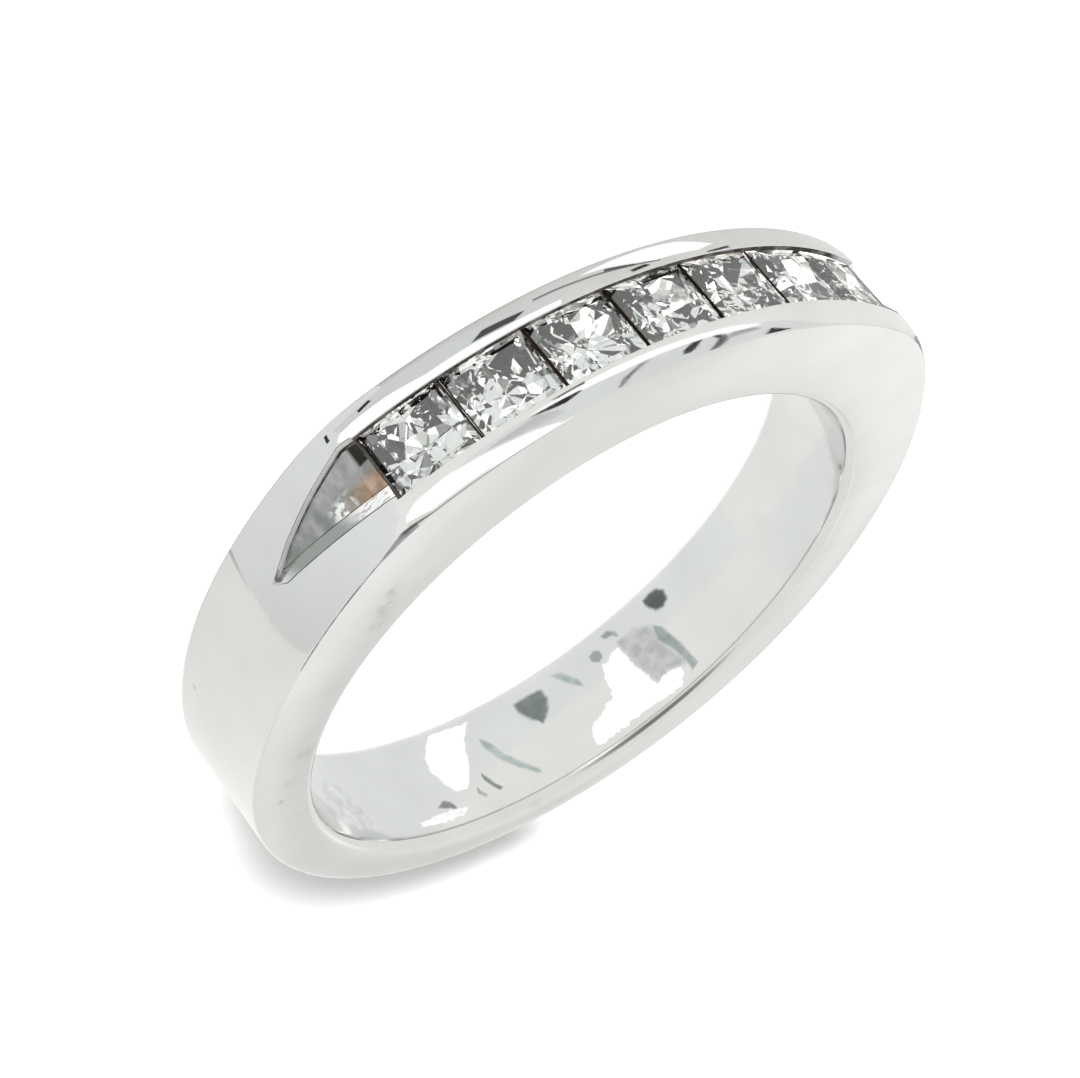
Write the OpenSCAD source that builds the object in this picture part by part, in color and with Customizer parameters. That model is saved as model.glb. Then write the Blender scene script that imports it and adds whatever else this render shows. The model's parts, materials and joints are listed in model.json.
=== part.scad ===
// Channel set band: a polished metal ring whose top holds a row of square stones between two rails.
// Millimetres. The origin is the middle of the finger hole, whose axis is the Z axis. The ring lies on
// its side, so the side faces are level, and +Y points from the hole to the middle of the stone row.

/* [Ring] */
// Diameter of the finger hole
hole_d = 17.2; // [16.4:0.1:18]
// Width of the band, from one side face to the other
band_w = 3.6; // [3.4:0.05:4]
// Metal from the hole to the top of the rails, in the middle of the row
top_t = 2.5; // [2.4:0.05:2.8]
// Metal from the hole to the outside, at the sides of the ring
side_t = 2; // [1.9:0.05:2.2]
// Metal from the hole to the outside, opposite the stones
bottom_t = 1.3; // [1.1:0.05:1.6]
// Radius of the soft edges of the finger hole
comfort_r = 0.3; // [0.2:0.05:0.4]
// Radius of the soft outer edges of the shank
shank_edge_r = 0.3; // [0.2:0.05:0.35]

/* [Stone row] */
// Number of stones
stones = 7; // [5:1:7]
// Side of a square stone, over its girdle
stone_w = 2.34; // [2.2:0.02:2.4]
// Gap between the girdles of two neighbours
stone_gap = 0.05; // [0.03:0.01:0.1]
// Width of the opening between the rails
opening_w = 2; // [1.9:0.02:2.1]
// Radius of the arc along the tops of the rails
rail_arc_r = 13.5; // [13.2:0.1:14]
// How far the tops of the rails fall away at the side faces
rail_drop = 0.1; // [0.06:0.01:0.16]
// Depth of the tables below the tops of the rails
table_depth = 0.15; // [0.1:0.01:0.2]

/* [Shoulders] */
// Angle of the crease at the end of the row, about the centre of the rails' arc
crease_a = 38.6; // [38.4:0.1:39.4]
// Length of a notch, from the crease to its point
notch_l = 3.68; // [3.2:0.02:4]
// Depth of a notch
notch_depth = 0.15; // [0.1:0.01:0.2]
// Width of the sloped ledge along the front edge of a notch
ledge_w = 0.43; // [0.3:0.01:0.5]

/* [Hidden] */
$fn = 180;

far = 40;
mid_z = band_w / 2;
hole_r = hole_d / 2;
// Rounded edges meet the flats at a slight angle, as polished ones do
edge_lift = 0.004;

// The shank is a circle about a centre a little above the hole's
shank_r = hole_r + side_t;
shank_y = side_t - bottom_t;
// The rails follow a flatter arc about a centre below the hole's
rail_y = hole_r + top_t - rail_arc_r;

// A shoulder is an arc that leaves the shank just below its widest point and ends at the crease
join_dip = 8;
join_dir = [cos(join_dip), -sin(join_dip)];
join = [0, shank_y] + shank_r * join_dir;
crease = [0, rail_y] + (rail_arc_r - rail_drop) * [sin(crease_a), cos(crease_a)];
chord = crease - join;
shoulder_r = -(chord * chord) / (2 * (chord * join_dir));
shoulder_c = join - shoulder_r * join_dir;
crease_up = atan2(crease.y - shoulder_c.y, crease.x - shoulder_c.x);

// The shank's soft edges fade into the crisp edges of the shoulders over this angle
fade_a = 23;
fade_shift = shank_edge_r / sin(fade_a);

// A notch's middle is seen from the shoulder's centre at notch_up. Places on its edges are
// [share of its length below the crease, height over the middle of the band]
notch_span_a = notch_l / shoulder_r * 180 / PI;
notch_up = crease_up - notch_span_a / 2;
notch_end = [-0.19, -opening_w / 2];
notch_back = [[0, -opening_w / 2 - 0.12], [0.38, -0.845], [0.7, -0.55], [1, -0.164]];
notch_front = [[0, opening_w / 2 - 0.18], [0.883, 0.154]];
// The front edge runs down to the blunt point, which has a slope of its own
ledge_fall = (notch_front[0][1] - notch_front[1][1]) / (notch_front[1][0] * notch_l);
blunt_w = 0.22;

// Heights in a stone's own frame, where z = 0 is the lower edge of its girdle and the table is up
half_w = stone_w / 2;
crown_h = 0.22;
girdle_h = 0.06;
culet_flat = 0.02;
// Slopes of the crown's facets, and where the upper ones reach the table
bezel_slope = 36;
upper_slope = 22;
upper_reach = 0.66 * half_w;
corner_slope = 24;
// Slopes of the facets below the girdle: each chevron has two halves, [direction, slope]
break_slope = 66;
chevrons = [[10, 52], [26, 41]];
culet_depth = corner_distance(chevrons[1][0]) * tan(chevrons[1][1]);

// Where the stones stand: the distance of a girdle's lower edge from the centre of the rails' arc
girdle_x = rail_arc_r - table_depth - crown_h - girdle_h;
pitch_a = 2 * atan((half_w + stone_gap / 2) / girdle_x);
row_a = stones * pitch_a / 2 + 0.25;

// Half of the channel's section as [distance from the middle, radius], clear of the stones
seat_clear = 0.04;
lip_x = girdle_x + girdle_h + 0.06 + seat_clear;
channel_half = [
    [opening_w / 2, rail_arc_r + 1],
    [opening_w / 2, lip_x + (half_w - opening_w / 2) * tan(bezel_slope)],
    [half_w + seat_clear, lip_x],
    [half_w + seat_clear, girdle_x - seat_clear],
    [0.76 * half_w + seat_clear, girdle_x - 0.46 * culet_depth],
    [0.67 * half_w + seat_clear, girdle_x - 0.59 * culet_depth],
    [0.1, girdle_x - culet_depth - seat_clear]
];

// Distance from a stone's axis to a facet that faces az and runs through a corner of the girdle
function corner_distance(az) = half_w * (cos(az) + sin(az)) + 0.002;

// The outline of the ring from the side, or that outline moved in by inset
module outline(inset = 0) {
    right = [0, shank_y] + far * join_dir;
    left = [-right.x, right.y];
    intersection() {
        translate([shoulder_c.x, shoulder_c.y]) circle(shoulder_r - inset);
        translate([-shoulder_c.x, shoulder_c.y]) circle(shoulder_r - inset);
        translate([0, rail_y]) circle(rail_arc_r - inset);
        polygon([[0, shank_y], right, [far, far], [-far, far], left]);
    }
    intersection() {
        translate([0, shank_y]) circle(shank_r - inset);
        polygon([[0, shank_y], left, [-far, -far], [far, -far], right]);
    }
}

// What lies outside a rounded corner whose flats are at radius r and at height z
module outside_corner(r, z, round_r) {
    inner = [r - round_r + edge_lift, z - round_r + edge_lift];
    difference() {
        translate(inner) square(round_r + 1);
        translate(inner) circle(round_r);
    }
}

// The finger hole with its soft edges
module finger_hole() {
    soft = comfort_r - edge_lift;
    translate([0, 0, -1]) cylinder(h = band_w + 2, r = hole_r);
    both_faces() rotate_extrude() difference() {
        translate([hole_r - 0.5, band_w - soft]) square([0.5 + soft, 1 + soft]);
        translate([hole_r + soft, band_w - soft]) circle(comfort_r);
    }
}

// Children once as they are, and once mirrored to the other side face
module both_faces() {
    children();
    translate([0, 0, band_w]) mirror([0, 0, 1]) children();
}

// Children once on the right of the ring, and once on the left
module both_sides() {
    children();
    mirror([1, 0, 0]) children();
}

// Rounds the shank's outer edges, and fades the rounding out along the shoulders
module shank_edges() {
    both_faces() {
        translate([0, shank_y, 0]) rotate([0, 0, 179.5 + join_dip])
            rotate_extrude(angle = 181 - 2 * join_dip)
                outside_corner(shank_r, band_w, shank_edge_r);
        both_sides()
            translate([shoulder_c.x - fade_shift * join_dir.y, shoulder_c.y + fade_shift * join_dir.x, 0])
                rotate([0, 0, -join_dip]) rotate_extrude(angle = fade_a + 1)
                    outside_corner(shoulder_r, band_w, shank_edge_r);
    }
}

// Lets the tops of the rails fall away to the side faces in a slow curve
module rail_domes() {
    fall_w = (band_w - opening_w) / 2 - 0.05;
    dome_r = (fall_w * fall_w + rail_drop * rail_drop) / (2 * rail_drop);
    both_faces() translate([0, rail_y, 0]) rotate_extrude() difference() {
        translate([rail_arc_r - 0.6, band_w - fall_w]) square(2);
        translate([rail_arc_r - dome_r + edge_lift, band_w - fall_w]) circle(dome_r);
    }
}

// The groove that the stones sit in, cut along the row
module channel() {
    low = [for (p = channel_half) [p[1], mid_z - p[0]]];
    high = [for (i = [len(channel_half) - 1:-1:0]) [channel_half[i][1], mid_z + channel_half[i][0]]];
    translate([0, rail_y, 0]) rotate([0, 0, 90 - row_a])
        rotate_extrude(angle = 2 * row_a) polygon(concat(low, high));
}

// Places children on the right shoulder, at a notch: X is outwards and Y runs up towards the row
module on_shoulder() {
    translate([shoulder_c.x, shoulder_c.y, 0]) rotate([0, 0, notch_up]) children();
}

// Place of a share of the notch's length on that Y axis
function along_notch(share) = shoulder_r * sin(notch_span_a * (0.5 - share));

// A prism through the right shoulder over an outline of [place on that Y axis, z]
module through_shoulder(points) {
    on_shoulder() translate([shoulder_r - 1.5, 0, 0]) rotate([90, 0, 90])
        linear_extrude(3) polygon(points);
}

// Height of a notch's front edge at a share of the notch's length
function front_z(share) = mid_z + notch_front[0][1] - share * notch_l * ledge_fall;

// All that lies above the ledge: a cone about an arc's centre, tipped to run along the front edge
module above_ledge(arc_r) {
    deep = 1;
    reach = deep * ledge_w / notch_depth;
    rotate([atan(ledge_fall), 0, 0]) rotate([0, 0, -25]) rotate_extrude(angle = 50)
        polygon([[arc_r - deep, -reach], [arc_r + deep, reach], [arc_r + deep, -reach]]);
}

// All that lies above the slope at a notch's blunt point
module above_point() {
    tip = notch_back[3];
    corner = notch_front[1];
    share = (tip[0] + corner[0]) / 2;
    across = atan2(-(tip[0] - corner[0]) * notch_l, corner[1] - tip[1]);
    translate([shoulder_c.x, shoulder_c.y, mid_z + (tip[1] + corner[1]) / 2])
        rotate([0, 0, crease_up - share * notch_span_a]) translate([shoulder_r, 0, 0])
            rotate([across, 0, 0]) rotate([0, 0, atan(notch_depth / blunt_w)])
                translate([0, -6, -6]) cube(12);
}

// The tapered notch below a row's end: an even depth, and slopes along its front edge and at its point
module notch() {
    spare = 0.06;
    back = [for (place = concat([notch_end], notch_back)) [along_notch(place[0]), mid_z + place[1]]];
    beyond_tip = [along_notch(1.03), mid_z + notch_back[3][1] + spare];
    front = [for (share = [0.91, notch_end[0]]) [along_notch(share), front_z(share) + spare]];
    intersection() {
        through_shoulder(concat(back, [beyond_tip], front));
        // Above the floor, which follows the ring's outline
        difference() {
            translate([-far / 2, -far / 2, -1]) cube([far, far, band_w + 2]);
            translate([0, 0, -2]) linear_extrude(band_w + 4) outline(notch_depth);
        }
        union() {
            on_shoulder() translate([0, 0, front_z(0.5)]) above_ledge(shoulder_r);
            translate([0, rail_y, front_z(0)]) rotate([0, 0, 90 - crease_a]) above_ledge(rail_arc_r);
        }
        above_point();
    }
}

// All the metal: one solid
module band() {
    color("gainsboro") difference() {
        linear_extrude(band_w) outline();
        finger_hole();
        shank_edges();
        rail_domes();
        channel();
        both_sides() notch();
    }
}

// All that lies beyond a facet that faces az, tips up from the level by slope (down where slope is
// negative) and is at the given distance from the axis where it crosses height z
module beyond_facet(az, slope, distance, z = 0) {
    tip = slope > 0 ? slope - 90 : slope + 90;
    rotate([0, 0, az]) translate([distance, 0, z]) rotate([0, tip, 0])
        translate([0, -5, -5]) cube([5, 10, 10]);
}

// One square stone, with its table up
module square_stone() {
    table_z = girdle_h + crown_h;
    color("white") difference() {
        translate([-half_w, -half_w, culet_flat - culet_depth])
            cube([stone_w, stone_w, table_z + culet_depth - culet_flat]);
        for (side = [0:90:270]) {
            beyond_facet(side, bezel_slope, half_w, girdle_h);
            beyond_facet(side, upper_slope, upper_reach, table_z);
            beyond_facet(side + 45, corner_slope, half_w * sqrt(2), girdle_h);
            beyond_facet(side, -break_slope, half_w, 0);
            for (chevron = chevrons)
                for (half = [-1, 1])
                    beyond_facet(side + half * chevron[0], -chevron[1], corner_distance(chevron[0]), 0);
        }
    }
}

// Stone number i of the row, counted from the left shoulder
module stone(i) {
    turn = (stones + 1 - 2 * i) / 2 * pitch_a;
    translate([0, rail_y, mid_z]) rotate([0, 0, turn]) rotate([-90, 0, 0])
        translate([0, 0, girdle_x]) square_stone();
}

// Moves children, which are built up from a side face on z = 0, to their place about the origin
module centred() {
    translate([0, 0, -mid_z]) children();
}

centred() band();
for (i = [1:stones])
    centred() stone(i);
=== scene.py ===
"""Channel set band: a polished white metal ring that lies on its side on a pale floor.

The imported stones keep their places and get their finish. The metal is made again here as one fine
mesh with soft edges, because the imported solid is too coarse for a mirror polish. Lengths in this
script are in millimetres where they describe the ring, and are scaled by MM when a mesh is made.
"""
import json
import math

import bpy
import numpy as np
from mathutils import Matrix, Vector


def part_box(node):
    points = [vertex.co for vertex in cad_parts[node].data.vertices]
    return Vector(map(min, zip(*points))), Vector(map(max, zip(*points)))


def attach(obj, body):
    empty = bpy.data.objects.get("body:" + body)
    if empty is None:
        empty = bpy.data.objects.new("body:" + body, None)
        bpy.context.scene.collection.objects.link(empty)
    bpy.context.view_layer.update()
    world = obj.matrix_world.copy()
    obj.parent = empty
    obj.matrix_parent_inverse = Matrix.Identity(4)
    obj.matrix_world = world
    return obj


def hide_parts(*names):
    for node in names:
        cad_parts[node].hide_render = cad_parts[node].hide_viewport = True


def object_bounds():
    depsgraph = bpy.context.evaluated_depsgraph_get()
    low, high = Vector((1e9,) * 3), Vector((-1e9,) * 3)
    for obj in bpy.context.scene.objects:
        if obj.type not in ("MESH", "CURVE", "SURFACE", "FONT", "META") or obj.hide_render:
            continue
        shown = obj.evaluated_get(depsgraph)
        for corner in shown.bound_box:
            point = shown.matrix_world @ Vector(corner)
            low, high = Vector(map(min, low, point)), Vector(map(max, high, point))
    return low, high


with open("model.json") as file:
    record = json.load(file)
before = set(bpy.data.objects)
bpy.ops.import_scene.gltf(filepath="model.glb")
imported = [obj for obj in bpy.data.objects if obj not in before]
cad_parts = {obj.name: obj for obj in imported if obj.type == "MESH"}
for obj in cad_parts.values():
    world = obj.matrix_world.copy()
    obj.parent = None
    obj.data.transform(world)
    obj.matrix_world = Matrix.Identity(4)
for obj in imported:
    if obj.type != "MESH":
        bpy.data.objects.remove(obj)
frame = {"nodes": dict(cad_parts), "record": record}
cad_low, cad_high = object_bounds()

MM = 0.001
STONES = [name for name in sorted(frame["nodes"]) if name.startswith("stone_")]
ring_low, ring_high = [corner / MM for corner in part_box("band")]
BORE = next(mount for mount in frame["record"]["mounts"] if mount["name"] == "finger_bore")

# The ring's driving sizes. Angles are in degrees
HALF_W = (ring_high.z - ring_low.z) / 2
HOLE_R = BORE["dims"]["r_mm"]
TOP_Y = ring_high.y
BOTTOM_Y = ring_low.y
SIDE_T = 2.0
COMFORT_R = 0.3
SHANK_EDGE_R = 0.3
CRISP_EDGE_R = 0.07
LIP_EDGE_R = 0.03
NOTCH_LIP_R = 0.01
EDGE_ROOM = 1.05

# The outer edges turn from crisp to soft between these directions, and near a crease they are worn rounder
SOFT_FROM = 74
SOFT_TO = 102
CORNER_WEAR = 0.26
CORNER_SPAN = 4.5

# The shank's circle, and the flatter circle along the tops of the rails
SHANK_R = HOLE_R + SIDE_T
SHANK_Y = SHANK_R + BOTTOM_Y
RAIL_R = 13.5
RAIL_Y = TOP_Y - RAIL_R
OPENING_W = 2.0

# A rail's top is level for a little way beside the opening, and then falls towards the side face
RAIL_LEVEL_W = 0.05
RAIL_DROP = 0.1

# A shoulder's circle leaves the shank below its widest point and meets the rails at the crease
JOIN_DIP = 8
CREASE_A = 38.6
CREASE_BLEND = 0.012

# The stone row
STONE_W = 2.34
STONE_GAP = 0.05
TABLE_DEPTH = 0.15
CROWN_H = 0.22
GIRDLE_H = 0.06
CULET_DEPTH = 1.36

# The groove that holds the stones, with steps as shares of half a stone's width and of its depth. It ends
# at an upright wall, ROW_END_A degrees past the last stone and SEAT_END_A degrees thick
SEAT_CLEAR = 0.04
SEAT_STEPS = [(0.76, 0.46), (0.67, 0.59)]
KEEL_HALF_W = 0.1
LIP_H = 0.06
LIP_SLOPE = 36
ROW_END_A = 0.25
SEAT_END_A = 0.02

# Dark plates of painted shade between two stones: their thickness, their reach below the girdle and their
# length
GAP_SHADE_T = 0.036
GAP_SHADE_DEPTH = 0.12
GAP_SHADE_L = STONE_W - 0.06

# A notch: places are [millimetres below the crease, z]
NOTCH_DEPTH = 0.15
NOTCH_TIP = (3.68, -0.164)
NOTCH_BACK = [(-0.7, -1.0), (0.0, -1.12), (1.4, -0.845), (2.58, -0.55), NOTCH_TIP]
NOTCH_FRONT = [(-0.7, 0.963), (3.25, 0.154), NOTCH_TIP]
LEDGE_W = 0.43
BLUNT_W = 0.22
WALL_LEAN = 0.035
TIP_W = 0.024
LIP_GAP = 0.045
TAIL_SPREAD = 0.3

# How a section's points are spread over the ledge and the floor of a notch, as shares of their widths
LEDGE_STEPS = (0.07, 0.3, 0.53, 0.76, 0.93, 1.0)
FLOOR_STEPS = (0.2, 0.4, 0.6, 0.8, 0.94, 1.0)

# A thin bevel along the front's outer edge with a painted dark reflection, from and to these distances below
# the crease
BEVEL_SPAN = (-1.9, 4.6)

# An arc takes at most this share of the straight part on either side of its corner. A corner whose half
# angle is over STRAIGHT_A needs no arc, and edges sharper than SHARP_A are shaded as edges
LEG_SHARE = 0.48
STRAIGHT_A = 88
SHARP_A = 32

# Points of a section in the order of its parts, and the finish that each kind of face gets
COMFORT_POINTS = 8
HOLE_POINTS = 2 * COMFORT_POINTS + 2
HOLE_LEVEL_Z = 0.5
EDGE_POINTS = 7
FLAT_POINTS = 7
LIP_POINTS = 4
# The seam finish is painted shade, the bevel a painted dark reflection, the ledge a painted highlight, and
# the seat carries painted light and shade
FINISHES = ("polished", "floor", "seat", "ledge", "seam", "bevel", "wall")

# Where the finish of a notch changes, in millimetres from the ring's middle plane and across the band
BROWN_ALONG = (8.3, 8.8)
BROWN_ACROSS = (-0.3, 0.05)
# Painted glints lie in this band
GLINT_ALONG = (8.45, 8.6, 8.8, 8.95)
GLINT_ACROSS = (-0.3, -0.1)
# Painted black shade of a gap lies here
GAP_ALONG = (8.14, 8.2)
GAP_ACROSS = (-0.42, -0.36)
# The ledge's painted highlight turns grey and then pale over these spans
LEDGE_GREY_ALONG = (8.5, 8.95)
LEDGE_PALE_ALONG = (9.6, 9.9)

# The painted seam shade turns pale beyond this x, and the stones' sides get painted shade this near to the
# middle of a gap
SEAM_SHADE_END_X = (6.9, 7.5)
GAP_SHADE_SPAN = (0.045, 0.06)

# Worn places of the polish: x, y, z, reach and how dull the middle is
SCUFFS = [
    (-8.16, 4.7, 1.81, 0.5, 0.4),
    (-8.12, 5.3, 1.81, 0.45, 0.5),
    (-8.06, 5.9, 1.81, 0.4, 0.4),
    (-7.4, 3.7, 1.81, 0.35, 0.15),
    (-9.06, -0.07, 1.81, 0.5, 0.4),
    (-9.3, -1.3, 1.81, 0.4, 0.15),
    (-9.43, -2.08, 1.81, 0.14, 0.6),
    (-10.56, -0.22, -1.18, 0.13, 0.9),
    (-9.0, 2.6, 1.81, 0.5, 0.12),
    (0.95, -8.8, 1.81, 0.35, 0.2),
]

# The camera, fitted to the photograph's outlines: its roll in degrees, and its focal length in pixels
CAMERA_PLACE = (-42.668, 58.597, 31.894)
CAMERA_TARGET = (-1.231, 2.499, 0)
CAMERA_ROLL = 141.57
FOCAL_PX = 2948.2
FRAME_PX = 1080

# The lamp, as the direction that its light takes and its width in degrees
LAMP_TOWARDS = (-0.804, -0.594, -1.9)
LAMP_W = 25
LAMP_LEVEL = 1.0

# The floor's half width in metres, and how much brighter the camera sees it than the ring does
FLOOR_HALF_W = 2.0
FLOOR_LIFT = 0.5

# The painted soft shadow on the floor, a ring round this place: its inner edge, its darkest line and its
# outer edge, and how far out to one side it starts and is full
SHADE_CENTRE = (5.0, -7.4)
SHADE_EDGES = (9.9, 10.5, 13.8)
SHADE_SIDE = (-0.763, -0.646, 0)
SHADE_SPAN = (4.0, 6.8)

# An even sky with soft places [azimuth, elevation, half width, change of its level]
SKY_LEVEL = 0.93
SKY_PATCHES = [
    (30, 19.5, 6, -0.12),
    (30, 33, 8, 0.13),
    (50, 22, 11, 0.2),
    (-143, 42, 36, -0.7),
    (-170, 5, 13, 0.6),
]

# Small glowing cards on the floor, which put painted reflections into the polish, as [name, brightness at
# the far and near edge, tint, corners]. Each lies a little higher than the one before it
WARM = (1.0, 0.995, 0.975)
COOL = (0.975, 1.0, 0.995)
PLAIN = (1.0, 1.0, 1.0)
TEAL = (0.88, 1.0, 0.965)
CARD_LIFT = 0.02
CARD_STEP = 0.004
BASE_CARD_R = 9.2
BASE_CARD_CORNERS = 48
BASE_CARD_SHADES = (0.96, 0.96)
CARDS = [
    ("card_shoulder", (0.95, 0.82), COOL, [
        (-17.6, 1.6), (-16.9, 1.2), (-16.0, 1.1), (-15.0, 1.4), (-14.0, 1.9), (-12.0, 3.2), (-9.4, 4.9),
        (-7.0, 7.5), (-7.0, 10.0), (-19.0, 10.0), (-19.0, 2.2)]),
    ("card_shoulder_low", (0.9, 1.1), WARM, [
        (-17.6, 1.5), (-16.9, 1.1), (-16.0, 1.0), (-15.0, 1.3), (-14.0, 1.8), (-12.0, 3.1), (-9.4, 4.8),
        (-9.2, 0.5), (-7.8, -5.6), (-4.5, -9.9), (-4, -16), (-16, -16), (-22, -6)]),
    ("card_hole_north", (0.98, 0.98), WARM, [
        (8.5, -2.4), (-2.5, -5.8), (-5.5, -3), (-5, 3), (0, 6), (8.2, 2.5)]),
    ("card_hole_south", (0.94, 0.94), COOL, [
        (8.5, -2.4), (-2.5, -5.8), (-5, -7.0), (-2.5, -8.2), (1, -8.6), (5, -7.2), (7.6, -4.4)]),
    ("card_rail_grey", (0.9, 0.9), COOL, [
        (-10.8, 17.6), (-9.2, 27), (-11.5, 40), (-14.5, 62), (-100, 500), (400, 400), (60, 22), (14, 17.6)]),
    ("card_rail_dim", (0.9, 0.66), COOL, [(-9.5, 20), (-8, 31), (-9, 45), (-4, 40), (-4.5, 26), (-5.5, 20)]),
    ("card_rail_white", (1.5, 1.5), PLAIN, [
        (-14.5, 17.6), (-11.7, 17.6), (-10.6, 22), (-10.0, 27), (-9.4, 32), (-8.9, 40), (-8.7, 150),
        (-60, 1500), (-1500, 1500), (-400, 500), (-60, 60), (-28, 30)]),
    ("card_rail_arc", (1.45, 1.45), PLAIN, [
        (-6.2, 17.6), (-4.6, 18.8), (-2.4, 20.2), (0.5, 21.2), (4, 20.4), (8, 20.1), (11, 20.8), (12.6, 19.6),
        (12.0, 18.2), (8, 17.6)]),
    ("card_rail_1", (0.04, 0.04), PLAIN, [
        (-5.9, 18.3), (-4.5, 21.6), (-3.6, 22.8), (-2.4, 20.5), (-2.5, 19.6)]),
    ("card_rail_2", (0.1, 0.04), COOL, [
        (6.2, 20.6), (7.0, 20.2), (11.3, 28.8), (12.6, 32.1), (11.0, 31.2), (7.7, 25.0)]),
    ("card_rail_3", (0.3, 0.08), COOL, [
        (7.8, 20.0), (8.9, 20.2), (14.0, 25.0), (31, 50), (29, 51), (11.5, 24.0)]),
    ("card_rail_4", (0.04, 0.04), PLAIN, [
        (18.1, 22.2), (26, 24.6), (39, 31.8), (107, 81), (117, 100), (62, 58), (27, 30.4)]),
    ("card_rail_5", (0.2, 0.3), COOL, [
        (2.1, 21.4), (2.9, 21.2), (3.1, 24.2), (4.0, 31.3), (10.2, 63), (8.6, 60), (2.6, 30)]),
    ("card_rail_6", (0.7, 0.4), COOL, [(10.5, 20.5), (12.8, 19.8), (16, 22), (15, 27), (12.5, 24)]),
    ("card_back_grey", (0.82, 0.82), COOL, [
        (-8.6, 8.3), (-5.0, 10.2), (-3.0, 10.95), (-1.8, 11.2), (-2.4, 11.7), (-5.2, 11.1), (-7.6, 9.7),
        (-8.9, 8.7)]),
    ("card_back_right", (0.85, 0.85), COOL, [
        (3.3, 11.3), (5.0, 10.9), (8.6, 8.6), (8.6, 9.6), (5.5, 11.6), (3.6, 11.9)]),
    ("card_back_white_1", (1.5, 1.5), PLAIN, [
        (-9.2, 8.4), (-8.1, 8.9), (-7.2, 9.5), (-6.3, 10.3), (-5.3, 10.7), (-4.1, 11.2), (-3.1, 11.5),
        (-2.2, 11.7), (-2.2, 12.1), (-4.2, 12.0), (-5.9, 11.5), (-7.5, 10.5), (-8.9, 9.7), (-9.7, 9.1)]),
    ("card_back_white_2", (1.45, 1.45), PLAIN, [
        (-1.6, 11.05), (0, 11.05), (1.6, 11.0), (3.0, 11.1), (2.6, 11.4), (1.0, 11.6), (0, 11.4),
        (-0.8, 11.2)]),
    ("card_back_line", (0.3, 0.3), PLAIN, [
        (-3.0, 10.95), (-1.6, 11.25), (0, 11.55), (1.2, 11.7), (1.2, 11.62), (0, 11.47), (-1.6, 11.17),
        (-3.0, 10.87)]),
    ("card_back_dash_1", (0.05, 0.05), PLAIN, [(-9.0, 8.1), (-8.6, 8.05), (-8.55, 8.15), (-8.95, 8.2)]),
    ("card_back_dash_2", (0.05, 0.05), PLAIN, [(-7.75, 8.8), (-7.4, 8.95), (-7.4, 9.05), (-7.8, 8.9)]),
    ("card_back_dash_3", (0.05, 0.05), PLAIN, [(0.1, 11.75), (0.6, 11.65), (0.9, 11.8), (0.3, 11.92)]),
    ("card_rail_dash", (0.08, 0.08), PLAIN, [(-4.3, 17.0), (-4.0, 17.5), (-2.3, 17.7), (-2.3, 17.0)]),
    ("card_foot_1", (0.1, 0.1), PLAIN, [(-4.95, 10.7), (-4.5, 10.55), (-3.3, 11.05), (-3.7, 11.2)]),
    ("card_foot_2", (0.1, 0.1), PLAIN, [(3.0, 11.5), (3.7, 11.15), (3.95, 11.2), (3.2, 11.6)]),
    ("card_foot_3", (0.15, 0.15), PLAIN, [(-0.85, 11.2), (0.2, 11.45), (0.2, 11.55), (-0.85, 11.3)]),
]
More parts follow.
